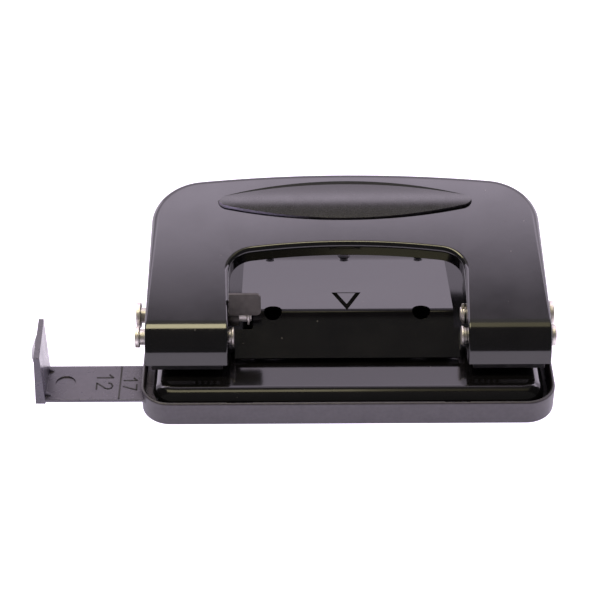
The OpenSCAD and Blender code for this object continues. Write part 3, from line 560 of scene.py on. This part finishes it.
def lever_rings(inset, top, *edges):
    """All rings of one side of the sheet, for the rounding of the opening, the back and the roll."""
    return [lever_ring(*places) for places in zip(*(lever_profile(inset, r, top) for r in edges))]


outside = lever_rings(0.0, LEVER_TOP, WINDOW_EDGE, LEVER_EDGE, ROLL_EDGE)
inside = lever_rings(LEVER_SHEET, LEVER_TOP - LEVER_SHEET,
                     WINDOW_EDGE - LEVER_SHEET, LEVER_EDGE - LEVER_SHEET, ROLL_EDGE / 2)
ring_len = len(outside[0])
half_len = ring_len // 2
arm_len = len(ARM_PLACES)

shell = bmesh.new()
outer_verts = [[shell.verts.new(lever_place(*p)) for p in ring] for ring in outside]
inner_verts = [[shell.verts.new(lever_place(*p)) for p in ring] for ring in inside]
front_edges = (half_len - 1, ring_len - 1)
for j in range(len(outside) - 1):
    for i in range(ring_len):
        k = (i + 1) % ring_len
        if i in front_edges:
            # The sheet's cut end at the front of each arm
            for a, b in ((i, 1), (k, -1)):
                cut = (outer_verts[j][a], outer_verts[j + 1][a], inner_verts[j + 1][a], inner_verts[j][a])
                shell.faces.new(cut if b > 0 else cut[::-1])
            continue
        shell.faces.new((outer_verts[j][i], outer_verts[j][k], outer_verts[j + 1][k], outer_verts[j + 1][i]))
        shell.faces.new((inner_verts[j][k], inner_verts[j][i], inner_verts[j + 1][i], inner_verts[j + 1][k]))
for i in range(ring_len):
    k = (i + 1) % ring_len
    if i not in front_edges:
        shell.faces.new((outer_verts[0][k], outer_verts[0][i], inner_verts[0][i], inner_verts[0][k]))
    else:
        shell.faces.new((outer_verts[-1][i], outer_verts[-1][k], inner_verts[-1][k], inner_verts[-1][i]))
for i in range(half_len - 1):
    a, b, c, d = i, i + 1, ring_len - 2 - i, ring_len - 1 - i
    shell.faces.new((inner_verts[-1][d], inner_verts[-1][c], inner_verts[-1][b], inner_verts[-1][a]))
    if i < arm_len - 1 or i >= half_len - arm_len:
        shell.faces.new((outer_verts[-1][a], outer_verts[-1][b], outer_verts[-1][c], outer_verts[-1][d]))

# The pocket for the inlay, with a rounded lip and a shallow valley behind it, and the flat face round it
lip = [(POCKET_GAP + POCKET_LIP * (1 - math.sin(a)), LEVER_TOP - POCKET_LIP * (1 - math.cos(a)))
       for a in (math.pi / 2 * i / POCKET_LIP_STEPS for i in range(POCKET_LIP_STEPS + 1))]
pocket = [lens_ring(POCKET_GAP + POCKET_LIP + VALLEY_RIM, LEVER_TOP, VALLEY_WIDE)]
pocket += [lens_ring(g, z, 0.0, VALLEY_DEEP) for g, z in lip]
pocket.append(lens_ring(POCKET_GAP, LEVER_TOP - POCKET_DEEP))
pocket_verts = [[shell.verts.new(lever_place(*p)) for p in ring] for ring in pocket]
lens_len = len(pocket[0])
for j in range(len(pocket) - 1):
    for i in range(lens_len):
        k = (i + 1) % lens_len
        upper, lower = pocket_verts[j], pocket_verts[j + 1]
        shell.faces.new((upper[i], upper[k], lower[k], lower[i]))
shell.faces.new(pocket_verts[-1])
rim_verts = pocket_verts[0]
pocket_rim = [shell.edges.get((rim_verts[i], rim_verts[(i + 1) % lens_len])) for i in range(lens_len)]
top_ring = outer_verts[-1]
border = [shell.edges.get((top_ring[i], top_ring[i + 1])) for i in range(arm_len - 1, half_len - arm_len)]
border += [shell.edges.get((top_ring[i], top_ring[i + 1]))
           for i in range(half_len + arm_len - 1, ring_len - arm_len)]
border += [shell.edges.get((top_ring[arm_len - 1], top_ring[ring_len - arm_len])),
           shell.edges.get((top_ring[half_len - arm_len], top_ring[half_len + arm_len - 1]))]
border += pocket_rim
flat = lever_place(0, 0, 1) - lever_place(0, 0, 0)
bmesh.ops.triangle_fill(shell, use_beauty=True, use_dissolve=False, edges=border, normal=flat.normalized())


def flange_plate(mesh, x, thick):
    """A side flange round both pins, with its two holes."""
    skirt_foot = LEVER_TOP - LEVER_SKIRT
    band = skirt_foot + FLANGE_UP
    tail = DRIVE_PIN[0] + FLANGE_TAIL
    outline = [(-0.3, band), (-LOBE_R * 0.78, 1.95)]
    outline += arc((0, 0), LOBE_R, math.radians(150), math.radians(270), 24)
    outline += arc(DRIVE_PIN, LOBE_R, math.radians(270), math.radians(360) + FLANGE_RUN, 20)
    outline += [(tail, skirt_foot), (tail, band)]
    rims = [outline]
    for centre in ((0, 0), DRIVE_PIN):
        last_turn = -2 * math.pi * (HOLE_STEPS - 1) / HOLE_STEPS
        rims.append(arc(centre, PIN_HOLE_R, 0, last_turn, HOLE_STEPS - 1))
    sides = []
    for level in (x, x + thick):
        loops = [[mesh.verts.new(lever_place(level, y, z)) for y, z in rim] for rim in rims]
        sides.append(loops)
        edges = []
        for loop in loops:
            edges += [mesh.edges.new((loop[i], loop[(i + 1) % len(loop)])) for i in range(len(loop))]
        bmesh.ops.triangle_fill(mesh, use_beauty=True, use_dissolve=False, edges=edges,
                                normal=(1 if level > x else -1, 0, 0))
    for near, far in zip(*sides):
        for i in range(len(near)):
            k = (i + 1) % len(near)
            mesh.faces.new((near[i], near[k], far[k], far[i]))


for x in (WINDOW_HALF, LEVER_HALF - LEVER_SHEET, -WINDOW_HALF - LEVER_SHEET, -LEVER_HALF):
    flange_plate(shell, x + FLANGE_SHY, LEVER_SHEET - 2 * FLANGE_SHY)
bmesh.ops.recalc_face_normals(shell, faces=shell.faces[:])
for edge in shell.edges:
    edge.smooth = edge not in pocket_rim and edge.calc_face_angle(0) < math.radians(38)
for face in shell.faces:
    face.smooth = True
lever_mesh = bpy.data.meshes.new("lever_sheet")
shell.to_mesh(lever_mesh)
shell.free()
lever_enamel = gloss_enamel("lever_enamel", ENAMEL_DARK, ENAMEL_PALE, 0.09, 0.14, 0.09)
lever_mesh.materials.append(lever_enamel)
lever = bpy.data.objects.new("lever_sheet", lever_mesh)
bpy.context.scene.collection.objects.link(lever)
even = lever.modifiers.new("even_shading", "WEIGHTED_NORMAL")
even.weight = 100
even.keep_sharp = True
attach(lever, "lever")
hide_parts("handle")

# Inlay: a lens-shaped plate of satin black plastic, moulded with a crown from front to back and a trimmed
# edge. It is glued in the lever's pocket and bare of any print.
INLAY_THICK = 1.35
INLAY_CROWN = 45.0
INLAY_GLUE = 0.02
INLAY_DARK = (0.012, 0.0113, 0.0127)
INLAY_PALE = (0.018, 0.017, 0.019)
inlay_floor = LEVER_TOP - POCKET_DEEP
rows = [-1.0, -0.985, -0.95, -0.9, -0.8, -0.6, -0.35, 0.0, 0.35, 0.6, 0.8, 0.9, 0.95, 0.985, 1.0]
columns = 96
points, faces = [], []
for i in range(columns + 1):
    x = -INLAY_HALF * math.cos(math.pi * i / columns)
    reach = lens_reach(x)
    for t in rows:
        y = reach * t
        z = INLAY_THICK - y * y / (2 * INLAY_CROWN)
        points.append(lever_place(x, INLAY_BACK + y, inlay_floor + z))
width = len(rows)
for i in range(columns):
    for j in range(width - 1):
        a = i * width + j
        faces.append((a, a + width, a + width + 1, a + 1))
rim = list(range(width))
rim += [i * width + width - 1 for i in range(1, columns + 1)]
rim += [columns * width + j for j in range(width - 2, -1, -1)]
rim += [i * width for i in range(columns - 1, 0, -1)]
start = len(points)
for i in rim:
    top = points[i]
    local = (top - lever_place(0, 0, inlay_floor)).dot(flat) / flat.length_squared
    points.append(top - flat * (local - INLAY_GLUE))
for i in range(len(rim)):
    k = (i + 1) % len(rim)
    faces.append((rim[i], rim[k], start + k, start + i))
faces.append(tuple(start + i for i in range(len(rim))))
inlay_plastic = moulded_plastic("inlay_plastic", INLAY_DARK, INLAY_PALE, 0.13, 0.17, 0.012)
HIGHLIGHT_FULL_X = -33.0 * MM
HIGHLIGHT_GONE_X = -9.0 * MM


def painted_highlight_edge(name):
    """The inlay's trimmed edge, dull, with a painted lilac highlight at its left end that fades out towards
    the middle.
    """
    finish = moulded_plastic(name, INLAY_DARK, INLAY_PALE, 0.3, 0.4, 0.02)
    along = spread(finish, own_place(finish)["X"], HIGHLIGHT_FULL_X, HIGHLIGHT_GONE_X, 1.0, 0.0)
    colour = skin_of(finish).inputs["Base Color"]
    # Painted highlight: pale lilac mixed into the edge's colour, full at the left tip and gone by 9 mm left
    # of the middle
    mixed = two_tones(finish, along, colour.links[0].from_socket, (0.72, 0.65, 0.88))
    finish.node_tree.links.new(mixed, colour)
    return finish


inlay = make_piece("inlay_plate", points, faces, inlay_plastic, "lever")
# The trimmed edge takes the painted lilac highlight
inlay.data.materials.append(painted_highlight_edge("inlay_edge_painted_highlight"))
for face in inlay.data.polygons[columns * (width - 1):-1]:
    face.material_index = 1
inlay.data.set_sharp_from_angle(angle=math.radians(50))
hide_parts("handle_inlay")

# Lock: a thumb tab bent from blackened sheet, with a hub on the long drive pin and a tongue that slides
# under the hood when the lever is down.
lock_black = blackened_sheet("lock_black", (0.040, 0.036, 0.032), (0.060, 0.054, 0.049), 0.38, 0.52)
dress("lock_slider", lock_black, edge=0.15)

# Paper guide: a bar of dark grey plastic that slides in the tray, with an upright stop for the paper's side
# edge, a shallow round recess, and an index line with two numbers on its upper face.
guide_plastic = moulded_plastic("guide_plastic", (0.045, 0.040, 0.057), (0.058, 0.051, 0.072), 0.24, 0.32)
dress("paper_guide", guide_plastic, edge=0.2)

# The index line and two plain numbers stand on the bar as thin dark strokes, read from the right
BAR_TOP = 5.2
STROKE_HALF = 0.21
STROKE_RISE = 0.05
STROKE_SUNK = 0.02
FIGURE_STEP = 0.82
INDEX_X = -57.3
INDEX_SHY = 0.4
BAR_FRONT, BAR_REAR = -28.2, -15.4
FIGURES = {
    "1": [(0.08, 0.76), (0.34, 1.0), (0.34, 0.0)],
    "2": [(0.02, 0.76), (0.10, 0.93), (0.30, 1.0), (0.50, 0.93), (0.57, 0.75), (0.50, 0.55), (0.02, 0.0),
          (0.60, 0.0)],
    "7": [(0.0, 1.0), (0.60, 1.0), (0.20, 0.0)],
}


def stroke(points, faces, line, foot, rise):
    """Adds a flat strip along each leg of a line, with its corners closed by small discs."""
    def block(corners):
        start, n = len(points), len(corners)
        for z in (foot, rise):
            points.extend(Vector((x, y, z)) * MM for x, y in corners)
        faces.append(tuple(range(start + n - 1, start - 1, -1)))
        faces.append(tuple(range(start + n, start + 2 * n)))
        for i in range(n):
            k = (i + 1) % n
            faces.append((start + i, start + k, start + n + k, start + n + i))

    for (ax, ay), (bx, by) in zip(line, line[1:]):
        length = math.hypot(bx - ax, by - ay)
        ox, oy = -(by - ay) / length * STROKE_HALF, (bx - ax) / length * STROKE_HALF
        block([(ax - ox, ay - oy), (bx - ox, by - oy), (bx + ox, by + oy), (ax + ox, ay + oy)])
    for x, y in line:
        block([(x + STROKE_HALF * math.cos(a), y + STROKE_HALF * math.sin(a))
               for a in (math.pi / 6 * k for k in range(12))])


points, faces = [], []
foot, rise = BAR_TOP - STROKE_SUNK, BAR_TOP + STROKE_RISE
stroke(points, faces, [(INDEX_X, BAR_FRONT + INDEX_SHY), (INDEX_X, BAR_REAR - INDEX_SHY)], foot, rise)
for figures, base_x, start_y, height in (("12", -63.2, -18.6, 4.0), ("17", -56.4, -19.9, 3.3)):
    for figure in figures:
        line = [(base_x + w * height, start_y - u * height) for u, w in FIGURES[figure]]
        stroke(points, faces, line, foot, rise)
        start_y -= FIGURE_STEP * height
stroke_plastic = moulded_plastic("stroke_plastic", (0.003, 0.0028, 0.003), (0.006, 0.0055, 0.006), 0.6, 0.75)
marks = make_piece("guide_marks", points, faces, stroke_plastic, "guide")
marks.data.shade_flat()

# Floor, lights and camera: a white table in front of a wide light wall that fades out above the object,
# with a broad warm lamp overhead, brighter left of the middle.
FLOOR_HALF = 4.0
WALL_AWAY = 0.95
WALL_HALF = 2.2
WALL_HIGH = 2.3
WALL_LEAN = math.radians(6.5)
CARD_ASIDE = 0.9
CARD_HALF = 0.35
CARD_HIGH = 0.3
CARD_AHEAD = 0.02
LAMP_CENTRE = (0, 0.03, 1.6)
LAMP_HALF = 0.22
CEILING_CENTRE = (0, 0.49, 1.62)
CEILING_HALF = 0.24


def stage_sheet(name, centre, gap_shade_share, along, finish):
    """A flat sheet of the set, given by its centre and two half sides."""
    centre, gap_shade_share, along = Vector(centre), Vector(gap_shade_share), Vector(along)
    corners = [-gap_shade_share - along, gap_shade_share - along, gap_shade_share + along, along - gap_shade_share]
    mesh = bpy.data.meshes.new(name)
    mesh.from_pydata([tuple(c) for c in corners], [], [(0, 1, 2, 3)])
    mesh.materials.append(finish)
    sheet = bpy.data.objects.new(name, mesh)
    sheet.location = centre
    bpy.context.scene.collection.objects.link(sheet)
    return sheet


floor_paint, floor_skin = blank_finish("floor_paint")
floor_skin.inputs["Roughness"].default_value = 0.9
floor_skin.inputs["Specular IOR Level"].default_value = 0.1
floor_tone = graded(floor_paint, patches(floor_paint, 3), (0.46, 0.455, 0.47), (0.50, 0.495, 0.51))
floor_paint.node_tree.links.new(floor_tone, floor_skin.inputs["Base Color"])
floor_skin.inputs["Emission Color"].default_value = (0.97, 0.89, 1.09, 1.0)
floor_skin.inputs["Emission Strength"].default_value = 1.5
stage_sheet("floor", (0, 0, 0), (FLOOR_HALF, 0, 0), (0, FLOOR_HALF, 0), floor_paint)


def glow(name, axis, stops, tint):
    """Light whose brightness changes along one axis of its sheet, given as places and brightnesses."""
    finish = bpy.data.materials.new(name)
    finish.use_nodes = True
    nodes, links = finish.node_tree.nodes, finish.node_tree.links
    nodes.clear()
    out = nodes.new("ShaderNodeOutputMaterial")
    lamp = nodes.new("ShaderNodeEmission")
    brightest = max(light for where, light in stops)
    lamp.inputs["Strength"].default_value = brightest
    links.new(lamp.outputs["Emission"], out.inputs["Surface"])
    climb = spread(finish, own_place(finish)[axis], stops[0][0], stops[-1][0])
    ramp = nodes.new("ShaderNodeValToRGB")
    links.new(climb, ramp.inputs["Fac"])
    links.new(ramp.outputs["Color"], lamp.inputs["Color"])
    marks = ramp.color_ramp.elements
    while len(marks) < len(stops):
        marks.new(0.5)
    for mark, (where, light) in zip(marks, stops):
        mark.position = (where - stops[0][0]) / (stops[-1][0] - stops[0][0])
        mark.color = (*[light / brightest * t for t in tint], 1.0)
    return finish


# Brightness of the wall by its height above the table
WALL_TINT = (1.0, 0.89, 1.065)
wall_stops = [(-0.3, 1.6), (0.2, 1.6), (0.8, 1.8), (1.25, 3.2), (1.5, 5.3), (1.6, 5.6), (1.68, 4.9),
              (1.85, 1.85), (1.97, 0.5), (2.15, 0.05), (WALL_HIGH, 0.0)]
wall_light = glow("wall_light", "Z", wall_stops, WALL_TINT)
light_wall = stage_sheet("light_wall", (0, WALL_AWAY, 0), (WALL_HALF, 0, 0), (0, 0, WALL_HIGH), wall_light)
light_wall.rotation_euler.y = WALL_LEAN
card_light = glow("card_light", "Z", [(-0.5, 3.0), (0.5, 3.0)], WALL_TINT)
for side in (-CARD_ASIDE, CARD_ASIDE):
    stage_sheet("side_card", (side, WALL_AWAY - CARD_AHEAD, CARD_HIGH), (CARD_HALF, 0, 0), (0, 0, CARD_HALF),
                card_light)

lamp_stops = [(-1.0, 10.3), (0.05, 10.3), (0.085, 2.4), (0.16, 1.6), (1.0, 1.2)]
lamp_light = glow("lamp_light", "X", lamp_stops, (1.0, 0.91, 0.59))
stage_sheet("warm_lamp", LAMP_CENTRE, (1.0, 0, 0), (0, LAMP_HALF, 0), lamp_light)

ceiling_light = glow("ceiling_light", "Y", [(-CEILING_HALF, 0.7), (CEILING_HALF, 0.7)], (1.0, 0.94, 0.92))
stage_sheet("ceiling", CEILING_CENTRE, (1.2, 0, 0), (0, CEILING_HALF, 0), ceiling_light)

room = bpy.data.worlds.new("room")
room.use_nodes = True
air = room.node_tree.nodes["Background"]
air.inputs["Color"].default_value = (1.0, 0.98, 1.0, 1.0)
air.inputs["Strength"].default_value = 0.13
bpy.context.scene.world = room
bpy.context.scene.view_settings.view_transform = "Standard"

camera = bpy.data.cameras.new("camera")
camera.sensor_width = 36.0
camera.lens = 107.28
camera_object = bpy.data.objects.new("camera", camera)
camera_from = Vector((-11.94, -356.47, 307.77)) * MM
camera_to = Vector((-11.94, -32.0, 40.3)) * MM
camera_roll = Matrix.Rotation(math.radians(-0.28), 4, "Z")
look = (camera_to - camera_from).to_track_quat("-Z", "Y").to_matrix().to_4x4()
camera_object.matrix_world = Matrix.Translation(camera_from) @ look @ camera_roll
bpy.context.scene.collection.objects.link(camera_object)
bpy.context.scene.camera = camera_object
